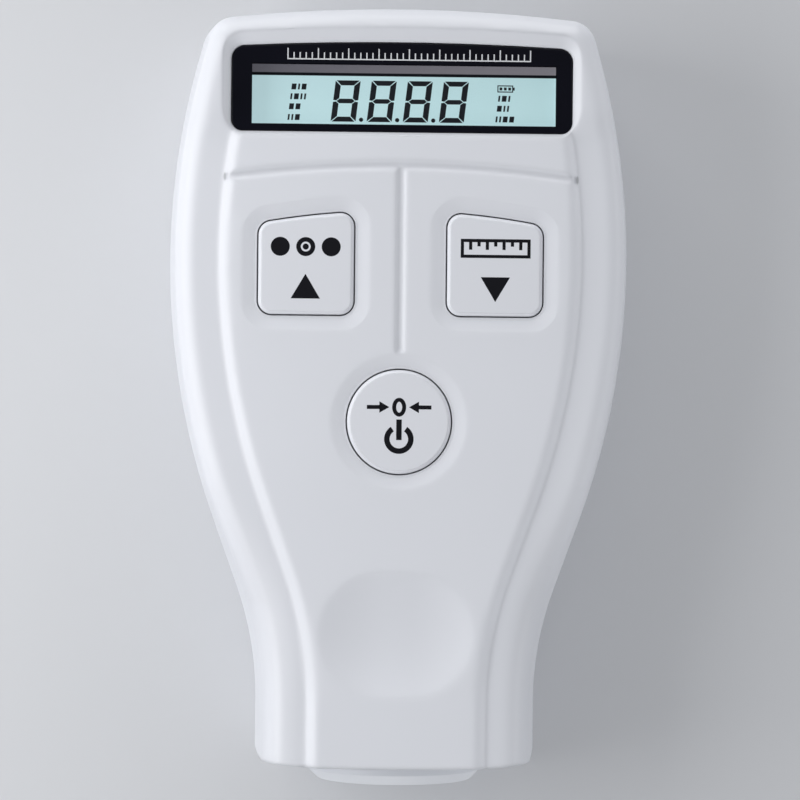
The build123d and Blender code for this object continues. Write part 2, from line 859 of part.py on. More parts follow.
def bobbin_span():
    start = foot_y + probe_sink + sleeve_face + contact_gap
    return start, core_end_y


def probe_bobbin():
    start, stop = bobbin_span()
    tube = core_radius + coil_gap + bobbin_wall
    spool = rod(tube, start, stop) + rod(sleeve_bore_radius - coil_gap, start, start + bobbin_flange)
    return spool - rod(core_radius + coil_gap, start - past, stop + past)


def probe_coil():
    start, stop = bobbin_span()
    low, high = start + bobbin_flange + contact_gap, stop - contact_gap
    tube = core_radius + coil_gap + bobbin_wall + contact_gap
    return rod(sleeve_bore_radius - 4 * coil_gap, low, high) - rod(tube, low - past, high + past)


def probe_cap():
    start = core_end_y + contact_gap
    return rod(sleeve_bore_radius - contact_gap, start, start + cap_thickness)


def probe_spring():
    """Flat-wire compression spring between the sleeve's flange and the guide cap."""
    low = sleeve_step_y + contact_gap + sleeve_flange + contact_gap
    high = barrel_end_y - guide_plug - contact_gap
    height = high - low - spring_wire
    start = low + spring_wire / 2
    path = Helix(pitch=height / spring_turns, height=height, radius=spring_radius)
    section = Plane(origin=path @ 0, z_dir=path % 0) * Rectangle(spring_wire, spring_wire)
    coil = sweep(section, path=path, is_frenet=True)
    return Pos(0, start, probe_z) * Rot(-90, 0, 0) * coil


def guide_cap():
    plug = rod(sleeve_flange_radius + running_gap - contact_gap, barrel_end_y - guide_plug, barrel_end_y)
    head = rod(barrel_radius, barrel_end_y, barrel_end_y + guide_thickness)
    x, z = lead_width / 2 + lead_slot_gap, lead_thickness / 2 + lead_slot_gap
    slot = block(-x, x, barrel_end_y - 2 * guide_plug, barrel_end_y + 2 * guide_thickness,
                 probe_z - z, probe_z + z)
    return plug + head - slot


def probe_lead():
    """Flat ribbon lead from the guide cap up to the connector under the board."""
    start = barrel_end_y + contact_gap
    stop = board_end_y + coil_gap + contact_gap
    high = board_z - connector_height / 2
    points = [
        (0, start, probe_z), (0, start + lead_straight, probe_z),
        (0, stop - lead_straight, high), (0, stop, high),
    ]
    path = FilletPolyline(*points, radius=lead_bend)
    across = Plane(origin=path @ 0, x_dir=(1, 0, 0), z_dir=path % 0)
    return sweep(across * Rectangle(lead_width, lead_thickness), path=path)


def lead_connector():
    start = board_end_y + 2 * coil_gap
    x = connector_half_width
    return block(-x, x, start, start + connector_length, board_z - connector_height, board_z)


def housing_screws():
    screws = []
    for x, y in housing_screws_at:
        head = post(x, y, screw_head_radius, screw_seat_z - screw_head, screw_seat_z)
        screws.append(head + post(x, y, screw_radius, screw_seat_z, screw_seat_z + screw_length))
    return Compound(children=[screw.solid() for screw in screws])


def board_screws():
    screws = []
    for x, y in board_screws_at:
        head = post(x, y, board_screw_head_radius, board_z - board_screw_head, board_z)
        screws.append(head + post(x, y, board_screw_radius, board_z, board_z + board_screw_length))
    return Compound(children=[screw.solid() for screw in screws])


os.makedirs("parts", exist_ok=True)
nodes = {
    "front_cover": front_cover(),
    "rear_cover": rear_cover(),
    "battery_door": battery_door(),
    "display_window": display_window(),
    "lcd_glass": lcd_glass(),
    "lcd_holder": lcd_holder(),
    "backlight_panel": backlight_panel(),
    "zebra_strip": zebra_strip(),
    "main_board": main_board(),
    "controller_chip": controller_chip(),
    "lead_connector": lead_connector(),
    "left_cell": battery_cell(-1),
    "right_cell": battery_cell(1),
    "bridge_contact": bridge_contact(),
    "negative_contact": end_contact(-1),
    "positive_contact": end_contact(1),
    "probe_foot": probe_foot(),
    "probe_sleeve": probe_sleeve(),
    "probe_core": probe_core(),
    "probe_bobbin": probe_bobbin(),
    "probe_coil": probe_coil(),
    "probe_cap": probe_cap(),
    "probe_spring": probe_spring(),
    "guide_cap": guide_cap(),
    "probe_lead": probe_lead(),
    "housing_screws": housing_screws(),
    "board_screws": board_screws(),
}
for key_name in key_centres:
    nodes[f"{key_name}_key"] = key(key_name)
    nodes[f"{key_name}_switch"] = key_switch(key_name)
    nodes[f"{key_name}_plunger"] = key_plunger(key_name)
for node, shape in nodes.items():
    export_step(shape, f"parts/{node}.step")
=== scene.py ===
"""Looks of a handheld coating thickness gauge: moulded shells, window, display, keys with their prints,
probe, screws, cells and board, with the light and the camera."""

import bpy
import json
from math import cos, pi, radians, sin, tan
from mathutils import Matrix, Vector


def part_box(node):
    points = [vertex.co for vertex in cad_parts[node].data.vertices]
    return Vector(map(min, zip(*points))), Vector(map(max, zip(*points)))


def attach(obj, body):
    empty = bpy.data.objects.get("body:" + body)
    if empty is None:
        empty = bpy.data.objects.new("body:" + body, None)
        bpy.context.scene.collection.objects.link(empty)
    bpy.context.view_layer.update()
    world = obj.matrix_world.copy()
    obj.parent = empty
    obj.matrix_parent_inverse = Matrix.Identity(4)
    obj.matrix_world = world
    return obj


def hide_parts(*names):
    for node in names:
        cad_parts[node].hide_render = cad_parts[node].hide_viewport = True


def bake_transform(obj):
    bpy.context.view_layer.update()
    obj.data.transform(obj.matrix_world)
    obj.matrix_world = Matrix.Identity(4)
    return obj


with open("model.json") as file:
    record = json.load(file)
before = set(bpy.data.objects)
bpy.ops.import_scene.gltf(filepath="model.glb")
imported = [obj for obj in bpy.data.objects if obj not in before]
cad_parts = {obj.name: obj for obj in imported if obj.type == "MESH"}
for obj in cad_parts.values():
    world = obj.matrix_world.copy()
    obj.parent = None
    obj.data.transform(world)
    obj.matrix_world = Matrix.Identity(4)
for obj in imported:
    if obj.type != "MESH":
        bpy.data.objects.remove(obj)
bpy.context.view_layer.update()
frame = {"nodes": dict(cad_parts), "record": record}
nodes = frame["nodes"]

MM = 0.001
IMAGE_PIXELS = 800

# Camera, measured from the photograph's perspective, in millimetres and degrees
CAMERA_HEIGHT = 458.0
CAMERA_X = -8.8
AIM = (0.1, -0.9, 28.0)
PHOTO_PIXELS_PER_MM = 7.602
CAMERA_ROLL = 0.58
SENSOR_WIDTH = 36.0

# Levels in the model's own frame, the axis of the probe and the thickness of prints, in millimetres
PANEL_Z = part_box("mode_key")[1].z / MM
GLASS_TOP_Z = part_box("lcd_glass")[1].z / MM
WINDOW_TOP_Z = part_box("display_window")[1].z / MM
PROBE_Z = (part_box("probe_foot")[0].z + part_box("probe_foot")[1].z) / 2 / MM
FOOT_FACE_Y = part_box("probe_foot")[0].y / MM
BACK_DEPTH = 2.5
INK_HEIGHT = 0.008

# Clear opening in the window's print, and the bands of the display below it
CLEAR_MIDDLE_X = 0.28
CLEAR_HALF_WIDTH = 20.1
CLEAR_LOW_Y = 35.4
CLEAR_HIGH_Y = 43.36
FIELD_HIGH_Y = 42.02
STRIP_LOW_Y = 42.42

# Front cover: radius of its soft edges, also at the dimple and at the key openings, then the thumb dimple
# and the painted shade in the end notches
BROAD_EDGE = 0.95
DIMPLE_EDGE = 1.8
OPENING_EDGE = 0.2
OPENING_MARGIN = 0.7
DIMPLE_Y = -33.5
DIMPLE_HALF_WIDTH = 10.2
DIMPLE_HALF_LENGTH = 8.2
DIMPLE_REACH = 1.3
NOTCH_X = 23.25
NOTCH_Y = 28.32
NOTCH_SHADE_HALF_WIDTH = 0.17
NOTCH_SHADE_HALF_LENGTH = 0.5

# Rounding of the shoulders towards the neck: where they meet the panel's wall, and how fast they fall away
SHOULDER_FOOT_X = 12.9
SHOULDER_BEND_Y = -38.0
SHOULDER_FLARE = 0.012
SHOULDER_CROWN = 0.058
NECK_START_Y = -12.0
NECK_FADE = 16.0

# Figures of the display
DIGIT_COUNT = 4
DIGIT_LOW_Y = 35.96
DIGIT_HEIGHT = 5.48
DIGIT_WIDTH = 3.32
DIGIT_PITCH = 4.79
DIGIT_FIRST_X = -9.42
DIGIT_SLANT = 6.7
UPRIGHT_WIDTH = 0.76
LEVEL_WIDTH = 0.66
MIDDLE_WIDTH = 0.60
SEGMENT_GAP = 0.13
POINT_RADIUS = 0.28

# Small signs beside the figures, in four rows
SIGN_ROWS = (40.55, 39.25, 37.92, 36.50)
SIGN_HEIGHT = 0.78
SIGN_LEFT_X = -15.2
SIGN_RIGHT_X = 12.4

# Marks on the keys
KEY_MARK_X = 12.5
ARROW_WIDTH = 3.85
ARROW_HEIGHT = 3.25
ARROW_Y = 13.95
ICON_Y = 19.15
ICON_HALF_WIDTH = 4.6
ICON_HEIGHT = 2.5
POWER_Y = -6.05
POWER_RADIUS = 1.58
POWER_STROKE = 0.72
POWER_GAP = 35.0
POWER_STEM = 2.7
POWER_STEM_DROP = 0.35
ZERO_Y = -1.85
ZERO_RADIUS = 0.98
ZERO_NARROWING = 0.74

# Mouldings with large flat faces, which keep their shading flat: covers, door and keys
COVER_NODES = ("front_cover", "rear_cover")
KEY_NODES = ("mode_key", "unit_key", "zero_key")
MOULDED_NODES = (*COVER_NODES, "battery_door", *KEY_NODES)

# Smoothing: angles in degrees up to which edges are shaded smooth, the least angle of a crease beside a
# level face, the distance within which points are merged and the rows cut across the neck
MOULDED_ANGLE = 25.0
TURNED_ANGLE = 28.0
SCREW_ANGLE = 30.0
CREASE_ANGLE = 11.0
LEVEL_ANGLE = 1.0
LEVEL_DEPTH = 1.0
MERGE_DISTANCE = 0.002
ROW_LOW_Y = -49.2
ROW_PITCH = 1.15
ROW_COUNT = 9

# Screws: places, and the width, stroke and depth of the cross in their heads
HOUSING_SCREWS = ((-21.5, 28.0), (21.5, 28.0), (-11.7, -35.0), (11.7, -35.0))
HOUSING_CROSS = (2.5, 0.62, 1.1)
BOARD_CROSS = (2.1, 0.5, 0.8)
BOARD_SCREW_HEAD_RADIUS = 1.9
CROSS_TIP = 0.45

# Fine scale printed on the window above its clear opening
SCALE_MIDDLE_X = 0.9
SCALE_HALF_WIDTH = 16.0
SCALE_LOW_Y = 43.95
SCALE_PITCH = 0.8
SCALE_LONG_TICK = 1.35
SCALE_SHORT_TICK = 0.8
SCALE_LINE = 0.16
LONG_TICK_EVERY = 5

# Light: where the lamps aim, in metres, and how bright the tent is at its sides and how much less overhead
LAMP_AIM = (0, 0, 0.01)
TENT_SIDES = 0.60
TENT_DROP = 0.52

WHITE = (0.775, 0.79, 0.835)


class Value:
    """A shader socket that does maths. Each operator adds one Math node."""

    def __init__(self, nodes, socket):
        self.nodes = nodes
        self.socket = socket

    def math(self, operation, *others, clamp=False):
        """This value through one Math node, with the others as its further inputs."""
        settings = {"operation": operation, "use_clamp": clamp}
        return self.nodes.node("Math", settings, dict(enumerate((self, *others))))

    def __add__(self, other):
        return self.math("ADD", other)

    def __sub__(self, other):
        return self.math("SUBTRACT", other)

    def __mul__(self, other):
        return self.math("MULTIPLY", other)

    def __truediv__(self, other):
        return self.math("DIVIDE", other)

    def __pow__(self, other):
        return self.math("POWER", other)

    def __rsub__(self, other):
        return self.nodes.node("Math", {"operation": "SUBTRACT"}, {0: other, 1: self})

    __radd__ = __add__
    __rmul__ = __mul__

    def clamped(self):
        return self.math("ADD", 0.0, clamp=True)

    def size(self):
        return self.math("ABSOLUTE")

    def wave(self):
        return self.math("SINE")

    def fraction(self):
        return self.math("FRACT")

    def larger(self, other):
        return self.math("MAXIMUM", other)


class Nodes:
    """A shader node tree under construction."""

    def __init__(self, tree):
        self.tree = tree
        self.tree.nodes.clear()

    def node(self, kind, settings=None, sockets=None, output=0):
        """Adds one node, and returns one of its outputs. Its settings are set before its sockets."""
        made = self.tree.nodes.new("ShaderNode" + kind)
        for name, setting in (settings or {}).items():
            setattr(made, name, setting)
        for name, value in (sockets or {}).items():
            if isinstance(value, Value):
                self.tree.links.new(value.socket, made.inputs[name])
            else:
                made.inputs[name].default_value = value
        return Value(self, made.outputs[output]) if made.outputs else None

    def split(self, vector):
        """The three numbers of a vector."""
        parts = self.node("SeparateXYZ", sockets={0: vector}).socket.node.outputs
        return [Value(self, part) for part in parts]


class Finish(Nodes):
    """One material under construction, ended by a Principled shader."""

    def __init__(self, name):
        self.material = bpy.data.materials.new(name)
        self.material.use_nodes = True
        super().__init__(self.material.node_tree)

    def place(self):
        """Object coordinates, which are the model's own frame in metres."""
        return self.node("TexCoord", output=3)

    def axes(self):
        """X, Y and Z of the place, in millimetres."""
        return [axis * (1 / MM) for axis in self.split(self.place())]

    def noise(self, grain_mm, detail=2.0, roughness=0.5, stretch=(1, 1, 1)):
        """Even noise from 0 to 1 whose grain is about grain_mm wide."""
        place = self.node("Mapping", sockets={"Vector": self.place(), "Scale": stretch})
        sockets = {"Vector": place, "Scale": 1 / (grain_mm * MM), "Detail": detail, "Roughness": roughness}
        return self.node("TexNoise", {"noise_dimensions": "3D"}, sockets)

    def mix(self, share, low, high):
        """Colour between two colours by a share from 0 to 1."""
        return self.node("Mix", {"data_type": "RGBA"}, {0: share, 6: low, 7: high}, output=2)

    def bump(self, height, strength, distance_mm, normal=None):
        """A normal that shows a height, over another normal if there is one."""
        sockets = {"Height": height, "Strength": strength, "Distance": distance_mm * MM}
        if normal:
            sockets["Normal"] = normal
        return self.node("Bump", sockets=sockets)

    def blend(self, share, low, high):
        """Direction between two directions by a share from 0 to 1."""
        return self.node("Mix", {"data_type": "VECTOR"}, {0: share, 4: low, 5: high}, output=1)

    def soft_edges(self, radius_mm):
        """The surface's normal with its crisp edges rounded by a small radius."""
        return self.node("Bevel", {"samples": 6}, {"Radius": radius_mm * MM})

    def around_probe(self):
        """Distance from the probe's axis, in millimetres."""
        x, _, z = self.axes()
        rise = z - PROBE_Z
        return (x * x + rise * rise) ** 0.5

    def surface(self, **sockets):
        """Ends the material. Names are the Principled shader's sockets, with _ for a space."""
        named = {name.replace("_", " "): value for name, value in sockets.items()}
        shader = self.node("BsdfPrincipled", sockets=named)
        self.node("OutputMaterial", sockets={"Surface": shader})
        return self.material


def band(value, low, high, soft):
    """1 between low and high, 0 outside, with edges soft wide."""
    return ((value - low) / soft + 0.5).clamped() * ((high - value) / soft + 0.5).clamped()


def ripple(value, pitch):
    """Even waves between -1 and 1 along a value."""
    return (value * (2 * pi / pitch)).wave()


def shade(colour, factor):
    """A colour made lighter or darker, with its alpha."""
    return tuple(min(part * factor, 1) for part in colour) + (1,)


def satin(f, colour, roughness, edges, shadow=0.0):
    """Satin moulded surface: faint cloudiness, spark-eroded grain and uneven gloss, with painted shade
    darkening it by the share shadow.
    """
    cloud = f.noise(22.0, 3.0)
    grain = f.noise(0.3, 3.0, 0.6)
    wave = f.noise(7.0, 1.0)
    gloss = roughness + (grain - 0.5) * 0.08 + (cloud - 0.5) * 0.06
    relief = f.bump(grain, 0.2, 0.004, f.bump(wave, 0.12, 0.02, edges))
    clean = f.mix(cloud, shade(colour, 0.975), shade(colour, 1.02))
    # The share shadow mixes in painted shade, a much darker copy of the colour
    return f.surface(
        Base_Color=f.mix(shadow, clean, shade(colour, 0.25)), Roughness=gloss, Normal=relief, IOR=1.49,
    )


def moulded_plastic(name, roughness, edge_mm):
    """Plain white satin moulding with one edge softness."""
    f = Finish(name)
    return satin(f, WHITE, roughness, f.soft_edges(edge_mm))


def inside_oval(x, y, reach, fade):
    """1 within reach of the middle of an oval, 0 outside, from distances in units of its half axes."""
    return band((x * x + y * y) ** 0.5, -1, reach, fade)


def at_key_openings(x, y):
    """1 at the three key openings and round them."""
    low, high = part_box("unit_key")
    fade = 0.2
    across = band(x.size(), low.x / MM - OPENING_MARGIN, high.x / MM + OPENING_MARGIN, fade)
    at_key = across * band(y, low.y / MM - OPENING_MARGIN, high.y / MM + OPENING_MARGIN, fade)
    low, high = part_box("zero_key")
    rise = y - (low.y + high.y) / 2 / MM
    return at_key.larger(inside_oval(x, rise, high.x / MM + OPENING_MARGIN, fade))


def shoulder_fall(x, y):
    """Height of the shoulders' rounding, in millimetres: 0 at the panel's wall, and lower outside it."""
    flare = (y - SHOULDER_BEND_Y).larger(0.0)
    outward = (x.size() - SHOULDER_FOOT_X - flare * flare * SHOULDER_FLARE).larger(0.0)
    at_neck = ((NECK_START_Y - y) / NECK_FADE).clamped()
    return outward * outward * at_neck * -SHOULDER_CROWN


def front_plastic():
    """Front cover: broad soft edges, crisp ones at the key openings, and painted shade in its two end
    notches.
    """
    f = Finish("housing_plastic")
    x, y, _ = f.axes()
    across, along = x / DIMPLE_HALF_WIDTH, (y - DIMPLE_Y) / DIMPLE_HALF_LENGTH
    at_dimple = inside_oval(across, along, DIMPLE_REACH, 0.2)
    broad = f.blend(at_dimple, f.soft_edges(BROAD_EDGE), f.soft_edges(DIMPLE_EDGE))
    edges = f.blend(at_key_openings(x, y), broad, f.soft_edges(OPENING_EDGE))
    edges = f.bump(shoulder_fall(x, y), 1.0, 1.0, edges)
    # Painted shade: a dark spot over each of the two end notches, where shade falls in them
    aside, beyond = (x.size() - NOTCH_X) / NOTCH_SHADE_HALF_WIDTH, (y - NOTCH_Y) / NOTCH_SHADE_HALF_LENGTH
    painted_notch_shade = inside_oval(aside, beyond, 1.0, 0.7)
    return satin(f, WHITE, 0.36, edges, painted_notch_shade * 0.5)


def turned_plastic():
    """The foot's plastic, with the faint rings of a turned face."""
    f = Finish("foot_plastic")
    colour = (0.74, 0.76, 0.80)
    cloud = f.noise(9.0, 3.0)
    _, y, _ = f.axes()
    face = band(y, FOOT_FACE_Y - 1.0, FOOT_FACE_Y + 0.1, 0.05)
    rings = ripple(f.around_probe(), 0.3) * face
    grain = f.noise(0.25, 3.0, 0.6)
    relief = f.bump(rings + grain * 0.8, 0.35, 0.004, f.soft_edges(0.25))
    return f.surface(
        Base_Color=f.mix(cloud, shade(colour, 0.97), shade(colour, 1.02)),
        Roughness=0.42 + (grain - 0.5) * 0.1, Normal=relief, IOR=1.49,
    )


def ink(name, colour, roughness, gloss=0.5):
    """Printed ink, with slightly uneven density."""
    f = Finish(name)
    density = f.noise(0.5, 3.0)
    return f.surface(
        Base_Color=f.mix(density, shade(colour, 0.85), shade(colour, 1.15)),
        Roughness=roughness + (density - 0.5) * 0.1, Specular_IOR_Level=gloss,
    )


def window_plate():
    """Clear plate with a near-black print behind it that leaves one opening clear."""
    f = Finish("window_acrylic")
    x, y, _ = f.axes()
    across = band(x, CLEAR_MIDDLE_X - CLEAR_HALF_WIDTH, CLEAR_MIDDLE_X + CLEAR_HALF_WIDTH, 0.05)
    clear = across * band(y, CLEAR_LOW_Y, CLEAR_HIGH_Y, 0.05)
    cloud = f.noise(9.0, 3.0)
    smear = f.noise(3.0, 4.0)
    return f.surface(
        Base_Color=f.mix(cloud, (0.0035, 0.0038, 0.0068, 1), (0.0060, 0.0062, 0.0115, 1)),
        Roughness=0.09 + (smear - 0.5) * 0.05, Alpha=1 - clear * 0.97,
        Normal=f.soft_edges(0.3), IOR=1.49, Specular_IOR_Level=0.3,
    )


def display_cell():
    """Liquid crystal cell: pale cyan field, black frame line and grey strip above it. Field and strip
    glow with painted light in the shade of the deep window, the field more at its left, under the bezel's
    shade.
    """
    f = Finish("display_glass")
    x, y, _ = f.axes()
    field = band(y, CLEAR_LOW_Y - 3, FIELD_HIGH_Y, 0.06)
    strip = band(y, STRIP_LOW_Y, CLEAR_HIGH_Y + 3, 0.06)
    cloud = f.noise(4.0, 3.0)
    across = (x / (2 * CLEAR_HALF_WIDTH) + 0.5).clamped()
    # Colour of the field's painted glow
    lit = f.mix(cloud, (0.455, 0.662, 0.692, 1), (0.480, 0.685, 0.712, 1))
    unlit = f.mix(cloud, (0.25, 0.365, 0.380, 1), (0.27, 0.385, 0.400, 1))
    grey = f.mix(across, (0.100, 0.098, 0.115, 1), (0.165, 0.158, 0.175, 1))
    colour = f.mix(strip, f.mix(field, (0.006, 0.008, 0.012, 1), unlit), grey)
    # Painted glow of the field, raised at its left, where the bezel's shade falls
    even = f.mix(across, (0.530, 0.735, 0.772, 1), lit)
    # Painted glow of the field and the grey strip, standing in for light that the deep window shades off
    painted_glow = f.mix(strip, f.mix(field, (0, 0, 0, 1), even), grey)
    return f.surface(
        Base_Color=colour, Roughness=0.4 + (cloud - 0.5) * 0.1, Specular_IOR_Level=0.2,
        Emission_Color=painted_glow, Emission_Strength=0.72,
    )


def metal(name, colour, roughness, stretch=(1, 1, 1), grain_mm=0.4):
    """Plain metal with fine drawn or turned marks along one direction."""
    f = Finish(name)
    marks = f.noise(grain_mm, 4.0, 0.65, stretch)
    relief = f.bump(marks, 0.2, 0.01, f.soft_edges(0.08))
    return f.surface(
        Base_Color=f.mix(marks, shade(colour, 0.82), shade(colour, 1.0)), Metallic=1.0,
        Roughness=roughness + (marks - 0.5) * 0.2, Normal=relief,
    )


def turned_steel():
    """Ground and polished steel of the probe, with fine rings on its face."""
    f = Finish("probe_steel")
    colour = (0.60, 0.61, 0.63)
    rings = ripple(f.around_probe(), 0.16) * 0.5 + 0.5
    marks = f.noise(0.3, 3.0)
    return f.surface(
        Base_Color=f.mix(marks, shade(colour, 0.88), shade(colour, 1.02)), Metallic=1.0,
        Roughness=0.24 + (marks - 0.5) * 0.12 + rings * 0.05,
        Normal=f.bump(rings, 0.25, 0.004, f.soft_edges(0.1)),
    )


def cell_can(name, positive_end_high):
    """Printed can of a small round cell: dark wrap, bright band at its positive end, bare metal ends."""
    f = Finish(name)
    _, y, _ = f.axes()
    low, high = (corner.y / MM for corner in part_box(name))
    along = (y - low) / (high - low) if positive_end_high else (high - y) / (high - low)
    wrap_edge = band(along, 0.018, 0.968, 0.004)
    bright = band(along, 0.80, 0.968, 0.004) * wrap_edge
    scuff = f.noise(1.2, 5.0, 0.6)
    wrap = f.mix(scuff, (0.020, 0.024, 0.034, 1), (0.030, 0.035, 0.048, 1))
    copper = f.mix(scuff, (0.55, 0.30, 0.13, 1), (0.62, 0.36, 0.17, 1))
    bare = f.mix(scuff, (0.50, 0.50, 0.50, 1), (0.60, 0.60, 0.59, 1))
    return f.surface(
        Base_Color=f.mix(wrap_edge, bare, f.mix(bright, wrap, copper)),
        Metallic=1 - wrap_edge * (1 - bright * 0.8), Roughness=0.30 + (scuff - 0.5) * 0.16,
        Normal=f.bump(wrap_edge, 0.5, 0.05, f.soft_edges(0.2)),
    )


def board_laminate():
    """Green solder mask over copper tracks, with tinned pads in rows."""
    f = Finish("board_laminate")
    x, y, _ = f.axes()
    pitch = 1.27
    weave = f.noise(0.5, 2.0)
    region = band(f.noise(9.0, 1.0), 0.46, 0.62, 0.02)
    tracks = band((x / pitch).fraction(), 0.30, 0.62, 0.05).larger(
        band((y / pitch).fraction(), 0.30, 0.62, 0.05) * region
    )
    across, along = (x / (2 * pitch)).fraction() - 0.5, (y / (2 * pitch)).fraction() - 0.5
    pads = band((across * across + along * along) ** 0.5, -1, 0.16, 0.03) * region
    mask = f.mix(tracks, (0.010, 0.095, 0.038, 1), (0.018, 0.150, 0.060, 1))
    return f.surface(
        Base_Color=f.mix(pads, mask, (0.62, 0.61, 0.58, 1)), Metallic=pads,
        Roughness=0.36 + (weave - 0.5) * 0.1, Normal=f.bump(tracks + pads, 0.4, 0.035),
    )


def matte_mould(name, colour, roughness=0.6):
    """Plain dark or pale moulding of the inner pieces, with a fine grain."""
    f = Finish(name)
    grain = f.noise(0.4, 4.0, 0.6)
    return f.surface(
        Base_Color=f.mix(grain, shade(colour, 0.85), shade(colour, 1.15)),
        Roughness=roughness + (grain - 0.5) * 0.12,
        Normal=f.bump(grain, 0.3, 0.01, f.soft_edges(0.1)),
    )


def layered_rubber():
    """Contact strip: thin dark conducting layers between pale insulating ones."""
    f = Finish("contact_rubber")
    x, _, _ = f.axes()
    layer = band((x / 0.18).fraction(), 0.25, 0.75, 0.1)
    return f.surface(
        Base_Color=f.mix(layer, (0.70, 0.42, 0.46, 1), (0.035, 0.033, 0.036, 1)),
        Roughness=0.7 + (f.noise(0.3) - 0.5) * 0.1,
    )


def wound_copper():
    """Enamelled wire wound turn beside turn along the probe's axis."""
    f = Finish("coil_copper")
    _, y, _ = f.axes()
    turns = ripple(y, 0.14) * 0.5 + 0.5
    cloud = f.noise(1.5, 3.0)
    return f.surface(
        Base_Color=f.mix(cloud, (0.52, 0.20, 0.07, 1), (0.66, 0.29, 0.11, 1)), Metallic=1.0,
        Roughness=0.30 + turns * 0.1, Normal=f.bump(turns, 0.8, 0.06), Coat_Weight=0.4,
    )


def ribbon_sheath():
    """Black sheath of the flat lead, ribbed by the wires in it."""
    f = Finish("lead_sheath")
    x, _, _ = f.axes()
    wires = ripple(x, 1.0) * 0.5 + 0.5
    return f.surface(
        Base_Color=f.mix(f.noise(0.6, 3.0), (0.018, 0.018, 0.020, 1), (0.030, 0.030, 0.033, 1)),
        Roughness=0.55 + wires * 0.05, Normal=f.bump(wires, 0.7, 0.12),
    )


def floor_card():
    """Plain pale card of the floor."""
    f = Finish("floor")
    cloud = f.noise(300.0, 2.0)
    return f.surface(
        Base_Color=f.mix(cloud, (0.66, 0.67, 0.69, 1), (0.68, 0.69, 0.71, 1)),
        Roughness=0.9 + (cloud - 0.5) * 0.05,
    )


def deselect():
    """Leaves edit mode and selects nothing."""
    if bpy.context.object and bpy.context.object.mode != "OBJECT":
        bpy.ops.object.mode_set(mode="OBJECT")
    bpy.ops.object.select_all(action="DESELECT")


def only(obj):
    """Selects one object and makes it the active one."""
    deselect()
    obj.select_set(True)
    bpy.context.view_layer.objects.active = obj


def edit(obj):
    """Opens one object for modelling with all of it selected."""
    only(obj)
    bpy.ops.object.mode_set(mode="EDIT")
    bpy.ops.mesh.select_all(action="SELECT")


def close(obj):
    """Turns all faces outwards and leaves edit mode."""
    bpy.ops.mesh.select_all(action="SELECT")
    bpy.ops.mesh.normals_make_consistent(inside=False)
    bpy.ops.object.mode_set(mode="OBJECT")
    return obj


def settle(obj):
    """Puts the object's place into its mesh, so that the object itself sits at the origin."""
    only(obj)
    bpy.ops.object.transform_apply(location=True, rotation=True, scale=True)
    return obj


def dress(obj, material):
    """Gives the whole object one material."""
    obj.data.materials.clear()
    obj.data.materials.append(material)


def body_of(node):
    """The body that a CAD node belongs to."""
    groups = frame["record"]["behaviour"]["bodies"]
    return next(body for body, members in groups.items() if node in members)


def cut_rows(shell):
    """Cuts the neck's long thin faces into rows across Y, so that their shading stays even."""
    edit(shell)
    for index in range(ROW_COUNT):
        bpy.ops.mesh.select_all(action="SELECT")
        bpy.ops.mesh.bisect(plane_co=(0, (ROW_LOW_Y + index * ROW_PITCH) * MM, 0), plane_no=(0, 1, 0))
    bpy.ops.object.mode_set(mode="OBJECT")


def crease_level_faces(shell):
    """Marks rims in the panel and the back as sharp where a face falls away clearly from a level one."""
    mesh = shell.data
    level = set()
    level_enough = cos(radians(LEVEL_ANGLE))
    for face in mesh.polygons:
        on_panel = face.normal.z > level_enough and face.center.z > (PANEL_Z - LEVEL_DEPTH) * MM
        on_back = face.normal.z < -level_enough and face.center.z < BACK_DEPTH * MM
        if on_panel or on_back:
            level.add(face.index)
    beside = {}
    for face in mesh.polygons:
        for key in face.edge_keys:
            beside.setdefault(key, []).append(face.index)
    limit = cos(radians(CREASE_ANGLE))
    for edge in mesh.edges:
        faces = beside[tuple(sorted(edge.vertices))]
        on_rim = len(faces) == 2 and (faces[0] in level) != (faces[1] in level)
        if on_rim and mesh.polygons[faces[0]].normal.dot(mesh.polygons[faces[1]].normal) < limit:
            edge.use_edge_sharp = True


def smooth_shell(node):
    """A copy of a CAD node's mesh with its points merged and its curved faces shaded smooth."""
    moulded = node in MOULDED_NODES
    shell = bpy.data.objects.new(node + "_shell", nodes[node].data.copy())
    bpy.context.scene.collection.objects.link(shell)
    only(shell)
    bpy.ops.mesh.customdata_custom_splitnormals_clear()
    edit(shell)
    bpy.ops.mesh.remove_doubles(threshold=MERGE_DISTANCE * MM)
    bpy.ops.object.mode_set(mode="OBJECT")
    if node in COVER_NODES:
        cut_rows(shell)
    bpy.ops.object.shade_smooth_by_angle(angle=radians(MOULDED_ANGLE if moulded else TURNED_ANGLE))
    if not moulded:
        return shell
    if node not in KEY_NODES:
        crease_level_faces(shell)
    weighted = shell.modifiers.new("weighted_normals", "WEIGHTED_NORMAL")
    weighted.mode = "FACE_AREA_WITH_ANGLE"
    weighted.weight = 100
    weighted.keep_sharp = True
    bpy.ops.object.modifier_apply(modifier=weighted.name)
    return shell


def shell_for(node, material):
    """Smooth copy of a node that stands for it."""
    shell = smooth_shell(node)
    dress(shell, material)
    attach(shell, body_of(node))
    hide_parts(node)
    return shell


def joined(name, pieces, body, material):
    """Joins pieces into one, and puts it on its body."""
    deselect()
    for piece in pieces:
        piece.select_set(True)
    bpy.context.view_layer.objects.active = pieces[0]
    bpy.ops.object.join()
    whole = settle(pieces[0])
    whole.name = name
    dress(whole, material)
    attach(whole, body)
    return whole


def raised(obj):
    """Gives a flat figure the thickness of a print."""
    edit(obj)
    bpy.ops.mesh.extrude_region_move(TRANSFORM_OT_translate={"value": (0, 0, INK_HEIGHT * MM)})
    return close(obj)


